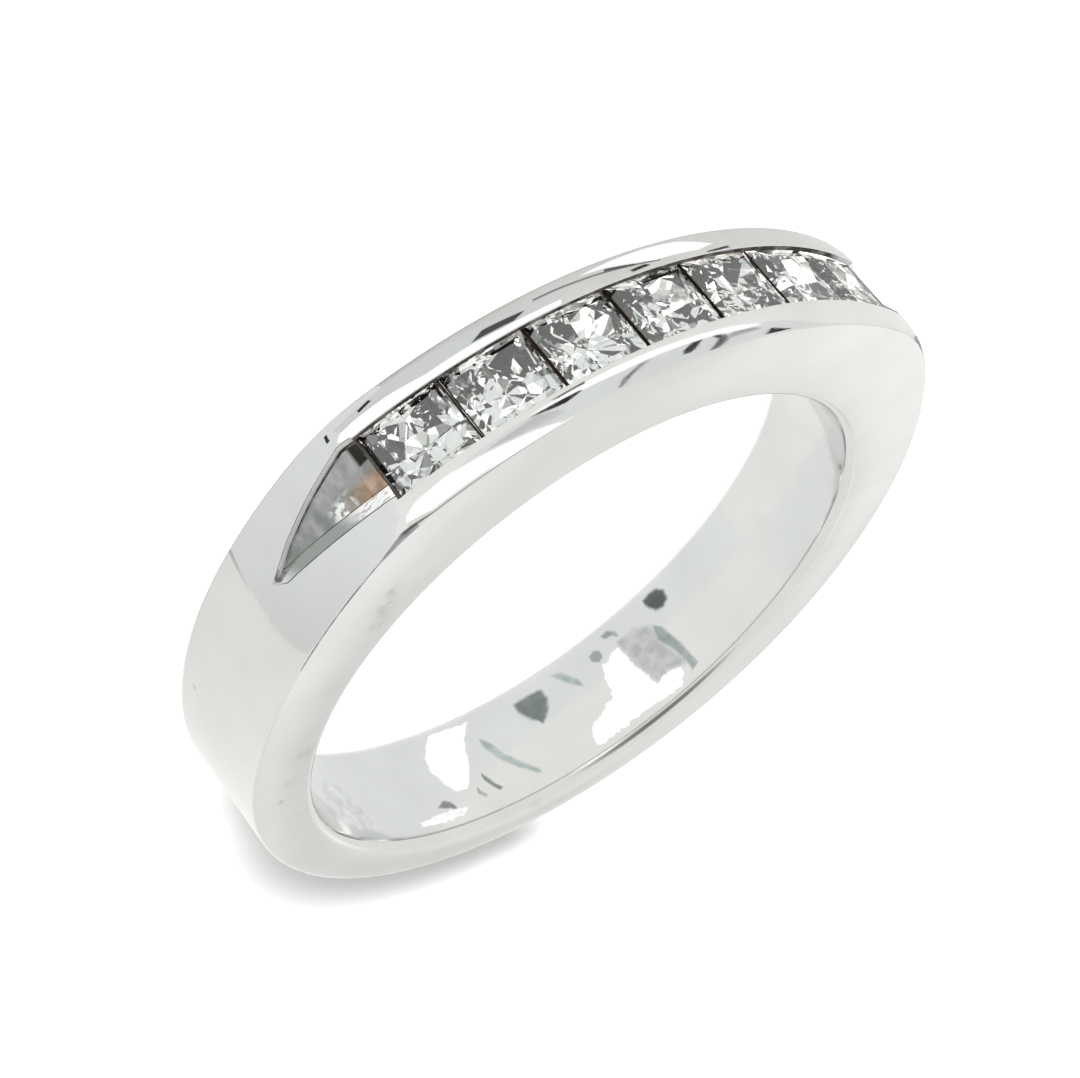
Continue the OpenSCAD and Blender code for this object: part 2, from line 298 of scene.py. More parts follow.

# Still smaller glowing cards just off the inner wall, which put painted reflections onto it, each where
# the camera sees it mirrored, as [name, brightness, tint, half the width of its soft edge, places on the
# wall]. A place is an angle from +Y towards +X, and z
WALL_CARD_GAP = 0.5
WALL_CARD_STEP = 0.01
WALL_CARDS = [
    ("wall_spot_1", 0.16, TEAL, 0.09, [
        (131.9, -1.5), (130.1, -1.55), (128.4, -1.5), (127.2, -1.29), (127.7, -0.99), (129.2, -0.88),
        (131.0, -0.96), (132.1, -1.25)]),
    ("wall_spot_2", 0.45, TEAL, 0.06, [
        (147.1, -1.22), (146.0, -1.29), (144.9, -1.19), (145.0, -0.96), (146.2, -0.87), (147.3, -1.01)]),
    ("wall_spot_3", 0.3, TEAL, 0.1, [
        (165.1, -1.29), (161.4, -1.31), (158.7, -1.23), (158.7, -0.87), (160.1, -0.5), (162.5, -0.23),
        (163.8, -0.52), (165.2, -0.94)]),
    ("wall_spot_4", 0.38, COOL, 0.05, [
        (193.2, 0.81), (190.9, 0.62), (189.6, 0.76), (189.0, 1.05), (190.5, 0.94)]),
    ("wall_arc_1", 0.5, TEAL, 0.05, [
        (142.9, -1.51), (141.2, -1.54), (140.1, -1.35), (140.1, -1.1), (141.1, -1.31), (142.4, -1.36)]),
    ("wall_arc_2", 0.64, TEAL, 0.06, [
        (155.5, -1.49), (153.4, -1.33), (151.6, -0.83), (151.6, -0.51), (152.9, -0.75), (154.6, -1.18)]),
    ("wall_arc_3", 0.63, TEAL, 0.06, [
        (175.3, -0.83), (173.9, -0.49), (173.0, -0.02), (170.7, 0.53), (168.6, 1.04), (169.3, 1.09),
        (171.9, 0.63), (174.3, 0.11), (175.7, -0.47)]),
    ("wall_arc_4", 0.36, TEAL, 0.03, [
        (179.6, 0.22), (179.0, 0.45), (178.4, 0.73), (177.5, 0.95), (178.4, 1.0), (179.3, 0.78),
        (180.0, 0.46)]),
    ("wall_arc_5", 0.6, TEAL, 0.03, [
        (182.3, 0.58), (182.1, 0.74), (181.3, 0.99), (181.9, 1.02), (182.9, 0.81)]),
    ("wall_shade_1", 0.68, COOL, 0.18, [
        (140.9, -1.04), (136.9, -1.0), (133.4, -0.65), (134.5, -0.19), (133.4, 0.25), (132.6, 0.76),
        (133.2, 0.97), (136.4, 0.73), (139.7, 0.82), (140.5, 0.27), (140.9, -0.31)]),
    ("wall_shade_2", 0.85, COOL, 0.16, [
        (217.8, -0.67), (215.1, -0.55), (214.3, -0.26), (212.7, 0.36), (212.3, 0.95), (218.7, 1.25),
        (224.5, 1.01), (225.0, 0.41), (222.8, -0.13)]),
    ("wall_band_1", 0.5, TEAL, 0.08, [
        (133.4, -0.65), (132.1, -0.34), (131.2, 0.35), (130.9, 1.2), (132.7, 1.27), (132.6, 0.76),
        (133.4, 0.25), (134.5, -0.19)]),
    ("wall_white_1", 1.5, PLAIN, 0.06, [
        (183.9, -1.59), (180.5, -1.53), (176.7, -1.46), (174.9, -1.48), (176.4, -1.31), (178.3, -0.95),
        (180.3, -0.3), (181.8, 0.11), (184.1, 0.5), (186.6, 0.5), (188.2, 0.1), (188.9, -0.43),
        (188.0, -0.89), (185.7, -1.31)]),
    ("wall_white_2", 1.5, PLAIN, 0.09, [
        (141.4, -0.83), (141.2, -0.26), (140.7, 0.32), (139.9, 0.86), (136.7, 0.78), (134.3, 0.93),
        (134.3, 1.18), (136.2, 1.39), (138.6, 1.4), (142.2, 1.32), (146.2, 1.27), (151.3, 1.32),
        (155.1, 1.36), (156.6, 1.27), (156.3, 0.99), (154.6, 0.63), (151.8, 0.55), (150.0, 0.37),
        (148.4, 0.31), (147.5, -0.05), (146.6, -0.48), (146.3, -0.76), (144.8, -0.7), (143.1, -0.84)]),
    ("wall_dash", 1.3, PLAIN, 0.06, [
        (199.5, 1.15), (195.5, 1.06), (190.8, 1.0), (186.8, 1.1), (188.9, 1.29), (194.3, 1.34),
        (199.5, 1.3)]),
]


def unit(angle):
    """Direction in the ring's plane at an angle from +Y towards +X."""
    return np.array([math.sin(math.radians(angle)), math.cos(math.radians(angle))])


def polar_radius(angle, centre, radius):
    """Distance from the hole's axis to a circle, along a direction."""
    along = unit(angle) @ centre
    return along + math.sqrt(along * along - centre @ centre + radius * radius)


JOIN_DIRECTION = unit(90 + JOIN_DIP)
JOIN = np.array([0, SHANK_Y]) + SHANK_R * JOIN_DIRECTION
CREASE = np.array([0, RAIL_Y]) + (RAIL_R - RAIL_DROP) * unit(CREASE_A)
CHORD = CREASE - JOIN
SHOULDER_R = -(CHORD @ CHORD) / (2 * (CHORD @ JOIN_DIRECTION))
SHOULDER_C = JOIN - SHOULDER_R * JOIN_DIRECTION
SHANK_C = np.array([0, SHANK_Y])
RAIL_C = np.array([0, RAIL_Y])
JOIN_A = math.degrees(math.atan2(JOIN[0], JOIN[1]))
CREASE_POLAR = math.degrees(math.atan2(CREASE[0], CREASE[1]))
GIRDLE_R = RAIL_R - TABLE_DEPTH - CROWN_H - GIRDLE_H
PITCH_A = 2 * math.degrees(math.atan((STONE_W + STONE_GAP) / 2 / GIRDLE_R))
ROW_END = RAIL_C + RAIL_R * unit(len(STONES) * PITCH_A / 2 + ROW_END_A)
ROW_A = math.degrees(math.atan2(ROW_END[0], ROW_END[1]))


def below_crease(angle):
    """Distance along the outline from the crease down to a direction, negative above the crease."""
    if angle < CREASE_POLAR:
        place = polar_radius(angle, RAIL_C, RAIL_R) * unit(angle) - RAIL_C
        turn = math.degrees(math.atan2(place[0], place[1])) - CREASE_A
        return math.radians(turn) * RAIL_R
    place = polar_radius(angle, SHOULDER_C, SHOULDER_R) * unit(angle) - SHOULDER_C
    crease = CREASE - SHOULDER_C
    turn = math.atan2(place[0], place[1]) - math.atan2(crease[0], crease[1])
    return turn * SHOULDER_R


def rail_fall(z):
    """How far a rail's top lies below its arc, growing towards the side face."""
    fall_w = HALF_W - OPENING_W / 2 - RAIL_LEVEL_W
    reach = max(abs(z) - (HALF_W - fall_w), 0)
    return RAIL_DROP * (reach / fall_w) ** 2


def outer_radius(angle, z, inset=0.0):
    """Distance from the hole's axis to the outside of the ring, or to that outside moved in."""
    if angle >= JOIN_A:
        return polar_radius(angle, SHANK_C, SHANK_R - inset)
    shoulder = polar_radius(angle, SHOULDER_C, SHOULDER_R - inset)
    rail = polar_radius(angle, RAIL_C, RAIL_R - inset - rail_fall(z))
    overlap = max(CREASE_BLEND - abs(shoulder - rail), 0) / CREASE_BLEND
    return min(shoulder, rail) - overlap * overlap * CREASE_BLEND / 4


def edge_radius(angle):
    """Rounding of the outer edges: soft round the shank, crisp along the shoulders and rails."""
    fade = min(max((angle - SOFT_FROM) / (SOFT_TO - SOFT_FROM), 0), 1)
    soft = (SHANK_EDGE_R - CRISP_EDGE_R) * fade * fade * (3 - 2 * fade)
    corner = max(1 - abs(angle - CREASE_POLAR) / CORNER_SPAN, 0)
    return CRISP_EDGE_R + CORNER_WEAR * corner + soft


def rounded(corners):
    """A closed section with each corner [radius, z, rounding, points] turned into an arc."""
    points = []
    for i, (r, z, rounding, count) in enumerate(corners):
        if count == 1:
            points.append((r, z))
            continue
        here = np.array([r, z])
        back = np.array(corners[i - 1][:2]) - here
        ahead = np.array(corners[(i + 1) % len(corners)][:2]) - here
        back_l = np.linalg.norm(back)
        ahead_l = np.linalg.norm(ahead)
        back, ahead = back / back_l, ahead / ahead_l
        half = math.acos(min(max(back @ ahead, -1), 1)) / 2
        wanted = rounding / math.tan(half) if half > 1e-6 else 0
        leg = min(wanted, LEG_SHARE * back_l, LEG_SHARE * ahead_l)
        start, end = here + leg * back, here + leg * ahead
        for step in range(count):
            t = step / (count - 1)
            if half > math.radians(STRAIGHT_A):
                points.append(tuple(start + (end - start) * t))
                continue
            centre = here + (back + ahead) / np.linalg.norm(back + ahead) * leg / math.cos(half)
            sweep = math.pi - 2 * half
            a, b = start - centre, end - centre
            mix = (math.sin((1 - t) * sweep) * a + math.sin(t * sweep) * b) / math.sin(sweep)
            points.append(tuple(centre + mix))
    return points


def channel_profile(angle):
    """Half of the stones' groove as [z, radius] from the rail's edge down to the middle."""
    half = STONE_W / 2
    lip = GIRDLE_R + GIRDLE_H + LIP_H + SEAT_CLEAR
    depths = [
        (OPENING_W / 2, lip + (half - OPENING_W / 2) * math.tan(math.radians(LIP_SLOPE))),
        (half + SEAT_CLEAR, lip),
        (half + SEAT_CLEAR, GIRDLE_R - SEAT_CLEAR),
    ]
    depths += [(width * half + SEAT_CLEAR, GIRDLE_R - depth * CULET_DEPTH) for width, depth in SEAT_STEPS]
    depths.append((KEEL_HALF_W, GIRDLE_R - CULET_DEPTH - SEAT_CLEAR))
    return [(z, polar_radius(angle, RAIL_C, r)) for z, r in depths]


def at(places, below):
    """z on a line of [below, z] places."""
    return float(np.interp(below, [p[0] for p in places], [p[1] for p in places]))


def ledge_line(below):
    """z of the ledge's front edge, continued past the blunt point."""
    (x0, z0), (x1, z1) = NOTCH_FRONT[:2]
    return z0 + (z1 - z0) * (below - x0) / (x1 - x0)


def blunt_share(below, z):
    """How far the slope of the blunt point has come down: 0 at the top, 1 at the notch's floor."""
    (x0, z0), (x1, z1) = NOTCH_FRONT[1:]
    length = math.hypot(x1 - x0, z1 - z0)
    return ((x0 - below) * (z0 - z1) + (z0 - z) * (x1 - x0)) / (length * BLUNT_W)


def notch_depth(below, z):
    """Depth of the notch at a place inside its outline."""
    share = min((ledge_line(below) - z) / LEDGE_W, blunt_share(below, z))
    return NOTCH_DEPTH * min(max(share, 0), 1)


def notch_foot(below):
    """z where the slope from the front reaches the notch's floor."""
    (x0, z0), (x1, z1) = NOTCH_FRONT[1:]
    length = math.hypot(x1 - x0, z1 - z0)
    blunt_z = z0 + ((x0 - below) * (z0 - z1) - length * BLUNT_W) / (x1 - x0)
    return min(ledge_line(below) - LEDGE_W, blunt_z)


def spread(start, end, shares):
    """Places between two values, at given shares of the way."""
    return [start + (end - start) * share for share in shares]


def groove(angle):
    """The section between the two edges of the flats, as front and back corner lists."""
    if angle <= ROW_A:
        top = (outer_radius(angle, OPENING_W / 2), OPENING_W / 2, LIP_EDGE_R, LIP_POINTS)
        front = [top] + [(r, z, 0, 1) for z, r in channel_profile(angle)]
        back = [(r, -z, rounding, count) for r, z, rounding, count in front]
        return front, back[::-1]
    # Past the row come the notch, with its back wall leaning less where it is narrow, and then, past the
    # notch's tip, the same points fanned out on the plain outside
    below = below_crease(angle)
    inside = below < NOTCH_TIP[0]
    if inside:
        z_back = at(NOTCH_BACK, below)
        z_front = max(at(NOTCH_FRONT, below), z_back + TIP_W)
        lean = min(WALL_LEAN, (z_front - z_back) / 3)
        foot = max(notch_foot(below), z_back + 1.5 * lean)
    else:
        fan = TIP_W / 2 + TAIL_SPREAD * (below - NOTCH_TIP[0])
        z_front = min(NOTCH_TIP[1] + fan, OPENING_W / 2)
        z_back = max(NOTCH_TIP[1] - fan, -OPENING_W / 2)
        lean = (z_front - z_back) / 8
        foot = (z_front + z_back) / 2
    places = spread(z_front, foot, LEDGE_STEPS) + spread(foot, z_back + lean, FLOOR_STEPS)
    depths = [notch_depth(below, z) if inside else 0 for z in places]
    points = [(outer_radius(angle, z, depth), z, 0, 1) for z, depth in zip(places, depths)]
    front_lip = (outer_radius(angle, z_front), z_front, NOTCH_LIP_R, LIP_POINTS)
    back_lip = (outer_radius(angle, z_back), z_back, NOTCH_LIP_R, LIP_POINTS)
    middle = len(LEDGE_STEPS)
    return [front_lip] + points[:middle], points[middle:] + [back_lip]


def flat_points(angle, places):
    """Points of the outside at given places across the band."""
    return [(outer_radius(angle, z), float(z), 0, 1) for z in places]


def band_section(angle):
    """The ring's section at a direction, as a closed loop of [distance from the axis, z]."""
    folded = abs(angle)
    edge = edge_radius(folded)
    front, back = groove(folded)
    top_z = HALF_W - edge * EDGE_ROOM
    front_flat = np.linspace(top_z, front[0][1] + LIP_GAP, FLAT_POINTS)
    back_flat = np.linspace(back[-1][1] - LIP_GAP, -top_z, FLAT_POINTS)
    corners = [
        (HOLE_R, -HALF_W, COMFORT_R, COMFORT_POINTS),
        (HOLE_R, -HOLE_LEVEL_Z, 0, 1),
        (HOLE_R, HOLE_LEVEL_Z, 0, 1),
        (HOLE_R, HALF_W, COMFORT_R, COMFORT_POINTS),
        (outer_radius(folded, HALF_W), HALF_W, edge, EDGE_POINTS),
    ]
    corners += flat_points(folded, front_flat) + front + back + flat_points(folded, back_flat)
    corners.append((outer_radius(folded, HALF_W), -HALF_W, edge, EDGE_POINTS))
    return rounded(corners)


def section_angles():
    """Directions of the sections on the right half: close together where the shape changes."""
    # Each stretch as the directions where it starts and ends, and the step between its sections
    steps = [
        (0, ROW_A - 0.3, 0.5),
        (ROW_A - 0.3, ROW_A, 0.1),
        (ROW_A + SEAT_END_A, CREASE_POLAR - 1.4, 0.1),
        (CREASE_POLAR - 1.4, CREASE_POLAR + 2.2, 0.05),
        (CREASE_POLAR + 2.2, 67, 0.2),
        (67, 104, 0.5),
        (104, 180, 0.75),
    ]
    angles = []
    for start, end, step in steps:
        count = max(1, round((end - start) / step))
        angles += [start + (end - start) * i / count for i in range(count + (end == ROW_A))]
    return angles + [180]


def finish_of(angle, number):
    """The finish of a section's face. Its number counts from the hole's back edge round the front."""
    lip = HOLE_POINTS + EDGE_POINTS + FLAT_POINTS
    ledge = lip + LIP_POINTS - 1
    floor = ledge + len(LEDGE_STEPS)
    wall = floor + len(FLOOR_STEPS)
    back_lip = wall + 1
    back_flat = back_lip + LIP_POINTS - 1
    if angle < ROW_A:
        if number in (ledge - 1, ledge, wall, back_lip):
            return "seam"
        return "seat" if ledge < number < wall else "polished"
    if angle < ROW_A + SEAT_END_A:
        return "seam" if ledge <= number <= wall else "polished"
    below = below_crease(angle)
    if BEVEL_SPAN[0] < below < BEVEL_SPAN[1] and HOLE_POINTS < number < HOLE_POINTS + EDGE_POINTS - 2:
        return "bevel"
    if below > NOTCH_TIP[0] or not lip <= number < back_flat:
        return "polished"
    if number <= ledge or number >= back_lip:
        return "seam"
    if below > NOTCH_FRONT[1][0]:
        return "polished"
    if number == wall:
        return "wall"
    if number in (floor - 1, wall - 1):
        return "seam"
    return "ledge" if number < floor else "floor"


def put_in_scene(name, data):
    """A new object of the scene with its mesh, lamp or camera data."""
    made = bpy.data.objects.new(name, data)
    bpy.context.scene.collection.objects.link(made)
    return made


def make_ring():
    """The metal as one closed mesh: sections swept round the hole."""
    right = section_angles()
    sections = [band_section(angle) for angle in right]
    count = len(sections[0])
    turns = right + [-angle for angle in right[-2:0:-1]]
    loops = sections + sections[-2:0:-1]
    verts = []
    for angle, section in zip(turns, loops):
        x, y = unit(angle)
        verts += [(r * x * MM, r * y * MM, z * MM) for r, z in section]
    faces = []
    finishes = []
    total = len(loops)
    for i in range(total):
        here, there = i * count, (i + 1) % total * count
        middle = (abs(turns[i]) + abs(turns[(i + 1) % total])) / 2
        for j in range(count):
            k = (j + 1) % count
            faces.append((here + j, here + k, there + k, there + j))
            finishes.append(FINISHES.index(finish_of(middle, j)))
    mesh = bpy.data.meshes.new("band_metal")
    mesh.from_pydata(verts, [], faces)
    mesh.polygons.foreach_set("material_index", finishes)
    mesh.validate()
    mesh.shade_smooth()
    mesh.set_sharp_from_angle(angle=math.radians(SHARP_A))
    ring = put_in_scene("band_metal", mesh)
    weighted = ring.modifiers.new("even_shading", "WEIGHTED_NORMAL")
    weighted.keep_sharp = True
    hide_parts("band")
    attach(ring, "root")
    return ring


def make_gap_shade():
    """Painted shade in the narrow gaps between the stones, as one thin dark plate in each gap."""
    verts = []
    faces = []
    for gap in range(len(STONES) - 1):
        turn = (gap + 1 - len(STONES) / 2) * PITCH_A
        out, side = unit(turn), unit(turn + 90)
        start = len(verts)
        for reach in (GIRDLE_R - GAP_SHADE_DEPTH, GIRDLE_R + GIRDLE_H):
            for across, z in ((-1, -1), (1, -1), (1, 1), (-1, 1)):
                x, y = RAIL_C + reach * out + across * GAP_SHADE_T / 2 * side
                verts.append((x * MM, y * MM, z * GAP_SHADE_L / 2 * MM))
        sides = [(i, (i + 1) % 4, (i + 1) % 4 + 4, i + 4) for i in range(4)]
        faces += [tuple(start + i for i in face) for face in [(3, 2, 1, 0), (4, 5, 6, 7)] + sides]
    mesh = bpy.data.meshes.new("gap_shade_plates")
    mesh.from_pydata(verts, [], faces)
    shade_plates = put_in_scene("gap_shade_plates", mesh)
    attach(shade_plates, "root")
    return shade_plates


def new_material(name):
    """An empty node material, its tree, and the node that gives the places on its object."""
    made = bpy.data.materials.new(name)
    made.use_nodes = True
    tree = made.node_tree
    tree.nodes.clear()
    return made, tree, add(tree, "ShaderNodeTexCoord")


def add(tree, kind, **values):
    """A node with its properties and unlinked inputs set by name."""
    node = tree.nodes.new(kind)
    for key, value in values.items():
        if hasattr(node, key):
            setattr(node, key, value)
        else:
            node.inputs[key].default_value = value
    return node


def noise(tree, place, scale, detail=2, stretch=(1, 1, 1)):
    """Noise over the object's own coordinates as a linked value, with its scale in cells per millimetre."""
    mapping = add(tree, "ShaderNodeMapping")
    mapping.inputs["Scale"].default_value = stretch
    texture = add(tree, "ShaderNodeTexNoise")
    texture.inputs["Scale"].default_value = scale / MM
    texture.inputs["Detail"].default_value = detail
    tree.links.new(place.outputs["Object"], mapping.inputs["Vector"])
    tree.links.new(mapping.outputs["Vector"], texture.inputs["Vector"])
    return texture.outputs["Fac"]


def set_surface(tree, shader):
    """Makes a node's shader the material's surface."""
    out = add(tree, "ShaderNodeOutputMaterial")
    tree.links.new(shader.outputs[0], out.inputs["Surface"])


def ramp(tree, source, low, high, start, end, smooth=False):
    """Maps a value from low..high to start..end, and holds it outside."""
    node = add(tree, "ShaderNodeMapRange")
    if smooth:
        node.interpolation_type = "SMOOTHSTEP"
    node.inputs["From Min"].default_value = low
    node.inputs["From Max"].default_value = high
    node.inputs["To Min"].default_value = start
    node.inputs["To Max"].default_value = end
    tree.links.new(source, node.inputs["Value"])
    return node.outputs["Result"]


def math_node(tree, operation, first, second):
    """A sum, product and so on of two linked values or a value and a number."""
    node = add(tree, "ShaderNodeMath", operation=operation)
    for socket, value in zip(node.inputs, (first, second)):
        if isinstance(value, (int, float)):
            socket.default_value = value
        else:
            tree.links.new(value, socket)
    return node.outputs["Value"]


def times(tree, first, second):
    """The product of two linked values or a value and a number."""
    return math_node(tree, "MULTIPLY", first, second)


def mixed(tree, share, first, second):
    """A colour between two colours, each a linked value or three numbers."""
    node = add(tree, "ShaderNodeMixRGB")
    for socket, value in zip(node.inputs, (share, first, second)):
        if isinstance(value, tuple):
            socket.default_value = (*value, 1)
        else:
            tree.links.new(value, socket)
    return node.outputs["Color"]


def vector_node(tree, operation, first, second=None):
    """A vector operation on a linked vector and on another one or three numbers. It returns the node."""
    node = add(tree, "ShaderNodeVectorMath", operation=operation)
    tree.links.new(first, node.inputs[0])
    if isinstance(second, tuple):
        node.inputs[1].default_value = second
    elif second is not None:
        tree.links.new(second, node.inputs[1])
    return node


def split_place(tree, place):
    """The object's own x, y and z as outputs of those names."""
    split = add(tree, "ShaderNodeSeparateXYZ")
    tree.links.new(place.outputs["Object"], split.inputs["Vector"])
    return split.outputs


def offset_from(tree, place, centre):
    """The way to each place from a point [x, y] in millimetres, as a linked vector."""
    shift = vector_node(tree, "SUBTRACT", place.outputs["Object"], (centre[0] * MM, centre[1] * MM, 0))
    return shift.outputs["Vector"]


def axis_distance(tree, place, centre):
    """Distance from a line parallel to Z through a point [x, y] in millimetres."""
    flat = vector_node(tree, "MULTIPLY", offset_from(tree, place, centre), (1, 1, 0))
    return vector_node(tree, "LENGTH", flat.outputs["Vector"]).outputs["Value"]


def between(tree, value, spans, inside=1, outside=0, smooth=False):
    """Turns a linked value from outside to inside over a span in millimetres, and back over a second one."""
    shares = []
    for i in range(0, len(spans), 2):
        ends = (outside, inside) if i == 0 else (inside, outside)
        shares.append(ramp(tree, value, spans[i] * MM, spans[i + 1] * MM, *ends, smooth=smooth))
    return shares[0] if len(shares) == 1 else times(tree, *shares)


def bump_surface(tree, metal, height, strength, depth):
    """Gives a metal fine relief from a linked height of 0 to 1, with its depth in millimetres."""
    bump = add(tree, "ShaderNodeBump", Strength=strength, Distance=depth * MM)
    tree.links.new(height, bump.inputs["Height"])
    tree.links.new(bump.outputs["Normal"], metal.inputs["Normal"])


def worn_places(tree, place):
    """How dull the polish is, as a linked value: 0 nearly everywhere, more at each of the scuffs."""
    total = 0
    for *centre, reach, dulling in SCUFFS:
        middle = tuple(value * MM for value in centre)
        away = vector_node(tree, "DISTANCE", place.outputs["Object"], middle)
        spot = ramp(tree, away.outputs["Value"], 0, reach * MM, dulling, 0, smooth=True)
        total = math_node(tree, "ADD", total, spot)
    grain = noise(tree, place, 3.5, 3)
    return times(tree, total, ramp(tree, grain, 0.35, 0.6, 0.2, 1))


def polished_metal():
    """White gold with a mirror polish, faint rubbing marks and a hand-worked inner wall."""
    made, tree, place = new_material("white_gold")
    metal = add(tree, "ShaderNodeBsdfPrincipled", Metallic=1.0)
    deeper, paler, dull = (0.735, 0.738, 0.722), (0.772, 0.776, 0.768), (0.3, 0.3, 0.28)
    cloud = noise(tree, place, 0.5, 4)
    tint = mixed(tree, ramp(tree, cloud, 0.35, 0.65, 0, 1), deeper, paler)
    tree.links.new(mixed(tree, worn_places(tree, place), tint, dull), metal.inputs["Base Color"])
    rub = noise(tree, place, 3.0, 5, (1, 1, 0.35))
    from_axis = axis_distance(tree, place, (0, 0))
    inner = ramp(tree, from_axis, (HOLE_R + 0.02) * MM, (HOLE_R + COMFORT_R) * MM, 1, 0)
    rubbing_and_paler_shade = math_node(tree, "ADD", ramp(tree, rub, 0.35, 0.75, 0.035, 0.13), times(tree, inner, 0.04))
    tree.links.new(rubbing_and_paler_shade, metal.inputs["Roughness"])
    wall = ramp(tree, inner, 0, 1, 0.03, 0.16)
    wave = noise(tree, place, 0.5, 1, (1, 1, 0.6))
    fine = noise(tree, place, 14.0, 2, (1, 1, 0.2))
    height = math_node(tree, "ADD", times(tree, wave, wall), times(tree, fine, 0.0015))
    bump_surface(tree, metal, height, 1.0, 0.16)
    set_surface(tree, metal)
    return made


def beside_gap(tree, place):
    """1 on the thin sides of the stones that face each other, 0 on the rest of them."""
    own = split_place(tree, place)
    height = math_node(tree, "SUBTRACT", own["Y"], RAIL_Y * MM)
    turn = math_node(tree, "ARCTAN2", own["X"], height)
    stones = math_node(tree, "ADD", math_node(tree, "DIVIDE", turn, math.radians(PITCH_A)), 0.5)
    to_gap = math_node(tree, "PINGPONG", stones, 0.5)
    pitch = math.radians(PITCH_A) * GIRDLE_R
    return ramp(tree, to_gap, GAP_SHADE_SPAN[0] / pitch, GAP_SHADE_SPAN[1] / pitch, 1, 0)


def diamond():
    """Clear stone with a diamond's refraction, and pavilion facets that break up what shows."""
    made, tree, place = new_material("diamond")
    facet_tilt, facets_per_mm = 0.22, 1.5
    cells = add(tree, "ShaderNodeTexVoronoi", Scale=facets_per_mm / MM)
    tree.links.new(place.outputs["Object"], cells.inputs["Vector"])
    centred = vector_node(tree, "SUBTRACT", cells.outputs["Color"], (0.5, 0.5, 0.5))
    from_rail_axis = axis_distance(tree, place, (0, RAIL_Y))
    below = ramp(tree, from_rail_axis, (GIRDLE_R - 0.06) * MM, (GIRDLE_R - 0.02) * MM, facet_tilt, 0)
    tilt = vector_node(tree, "SCALE", centred.outputs["Vector"])
    tree.links.new(below, tilt.inputs["Scale"])
    surface = add(tree, "ShaderNodeNewGeometry")
    tipped = vector_node(tree, "ADD", surface.outputs["Normal"], tilt.outputs["Vector"])
    facing = vector_node(tree, "NORMALIZE", tipped.outputs["Vector"])
    glass = add(tree, "ShaderNodeBsdfGlass", IOR=2.417, Roughness=0.0)
    glass.inputs["Color"].default_value = (0.975, 0.985, 0.98, 1)
    tree.links.new(facing.outputs["Vector"], glass.inputs["Normal"])
    # Painted shade: dark brown on the stones' sides that face each other across a gap
    gap_shade_bsdf = add(tree, "ShaderNodeBsdfPrincipled", Roughness=0.5)
    gap_shade_bsdf.inputs["Base Color"].default_value = (0.045, 0.03, 0.025, 1)
    gap_shade_bsdf.inputs["Specular IOR Level"].default_value = 0.0
    joined = add(tree, "ShaderNodeMixShader")
    tree.links.new(beside_gap(tree, place), joined.inputs["Fac"])
    tree.links.new(glass.outputs["BSDF"], joined.inputs[1])
    tree.links.new(gap_shade_bsdf.outputs["BSDF"], joined.inputs[2])
    set_surface(tree, joined)
    return made


def painted_gap_shade():
    """Painted shade: dull dark brown with lighter flecks."""
    made, tree, place = new_material("painted_gap_shade")
    dark, lighter_fleck = (0.05, 0.032, 0.028), (0.16, 0.12, 0.1)
    dull = add(tree, "ShaderNodeBsdfPrincipled", Roughness=0.8)
    dull.inputs["Specular IOR Level"].default_value = 0.0
    fleck_noise = noise(tree, place, 3.0, 3)
    share = ramp(tree, fleck_noise, 0.4, 0.65, 0, 1)
    tree.links.new(mixed(tree, share, dark, lighter_fleck), dull.inputs["Base Color"])
    set_surface(tree, dull)
    return made


def seat_metal():
    """The cut seats under the stones, with glowing patches of painted light that leaks past the stones, and
    painted shade where a gap between the stones lies.
    """
    made, tree, place = new_material("seat_metal")
    bright, dark = (0.75, 0.74, 0.72), (0.05, 0.035, 0.03)
    metal = add(tree, "ShaderNodeBsdfPrincipled", Roughness=0.25)
    metal.inputs["Specular IOR Level"].default_value = 0.0
    patches_per_mm = 2.8
    leak = add(tree, "ShaderNodeTexVoronoi", Scale=patches_per_mm / MM)
    split = add(tree, "ShaderNodeSeparateColor")
    tint = add(tree, "ShaderNodeMixRGB")
    tint.inputs["Fac"].default_value = 0.12
    tint.inputs["Color1"].default_value = (1.0, 0.99, 0.97, 1)
    tree.links.new(place.outputs["Object"], leak.inputs["Vector"])
    tree.links.new(leak.outputs["Color"], tint.inputs["Color2"])
    tree.links.new(tint.outputs["Color"], metal.inputs["Emission Color"])
    tree.links.new(leak.outputs["Color"], split.inputs["Color"])
    # Painted light: glowing patches stand in for the light that leaks past the stones
    painted_leak_glow = ramp(tree, split.outputs["Red"], 0.3, 0.75, 0.03, 1.5)
    # Painted shade: dark and not metallic where a gap between the stones lies
    gap = beside_gap(tree, place)
    covered = math_node(tree, "SUBTRACT", 1, gap)
    tree.links.new(times(tree, painted_leak_glow, covered), metal.inputs["Emission Strength"])
    tree.links.new(covered, metal.inputs["Metallic"])
    tree.links.new(mixed(tree, gap, bright, dark), metal.inputs["Base Color"])
    set_surface(tree, metal)
    return made


def notch_place(tree, place):
    """Distance along the ring from its middle plane and place across it, as two linked values."""
    own = split_place(tree, place)
    return math_node(tree, "ABSOLUTE", own["X"], 0), own["Z"]


